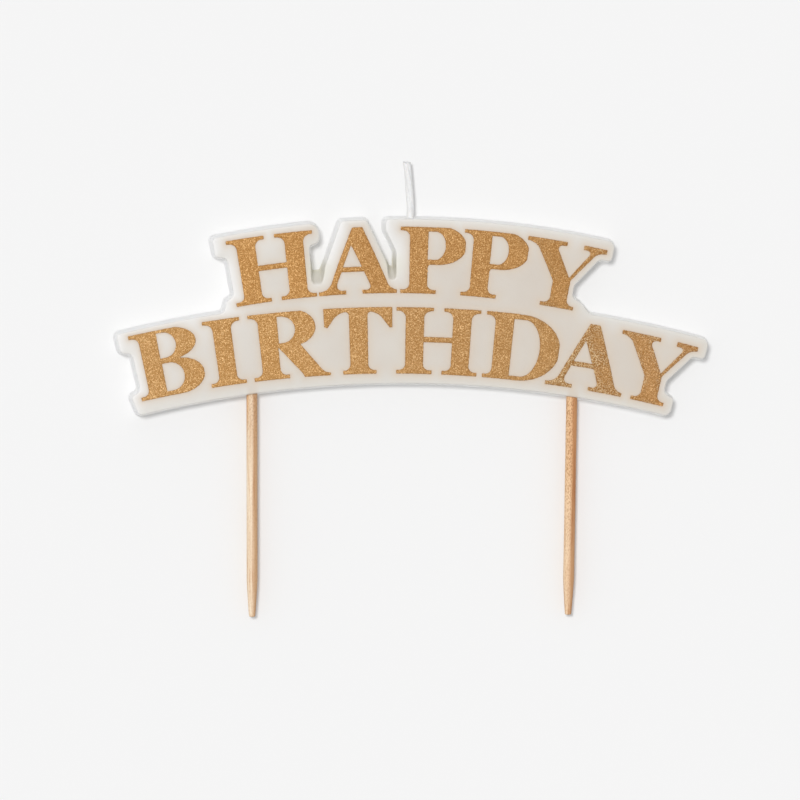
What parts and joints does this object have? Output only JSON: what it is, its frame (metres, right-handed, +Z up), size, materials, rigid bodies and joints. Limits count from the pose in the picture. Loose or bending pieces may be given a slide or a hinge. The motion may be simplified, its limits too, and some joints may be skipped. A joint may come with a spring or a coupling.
{
  "type": "birthday candle",
  "caption": "Flat moulded wax candle shaped round two arched rows of lettering, with one wick, that stands upright in a cake on wooden picks",
  "frame": {"origin": "midway between the tips of the two picks, on their axis plane, which is the middle of the plaque's thickness", "axes": "+X to the right along the plaque, -Y towards the viewer of the lettered front, +Y out of the flat back, +Z up along the picks to the wick"},
  "size_m": [0.1514, 0.006, 0.1153],
  "materials": {
    "wax": "ivory paraffin wax, slightly translucent, with a satin sheen",
    "wick": "white cotton yarn stiffened with wax",
    "pick_wood": "bare turned birch with fine lengthwise grain",
    "gold_glitter": null
  },
  "bodies": {
    "root": {"wax_plaque": "wax", "wick": "wick", "left_pick": "pick_wood", "right_pick": "pick_wood"}
  },
  "joints": []
}
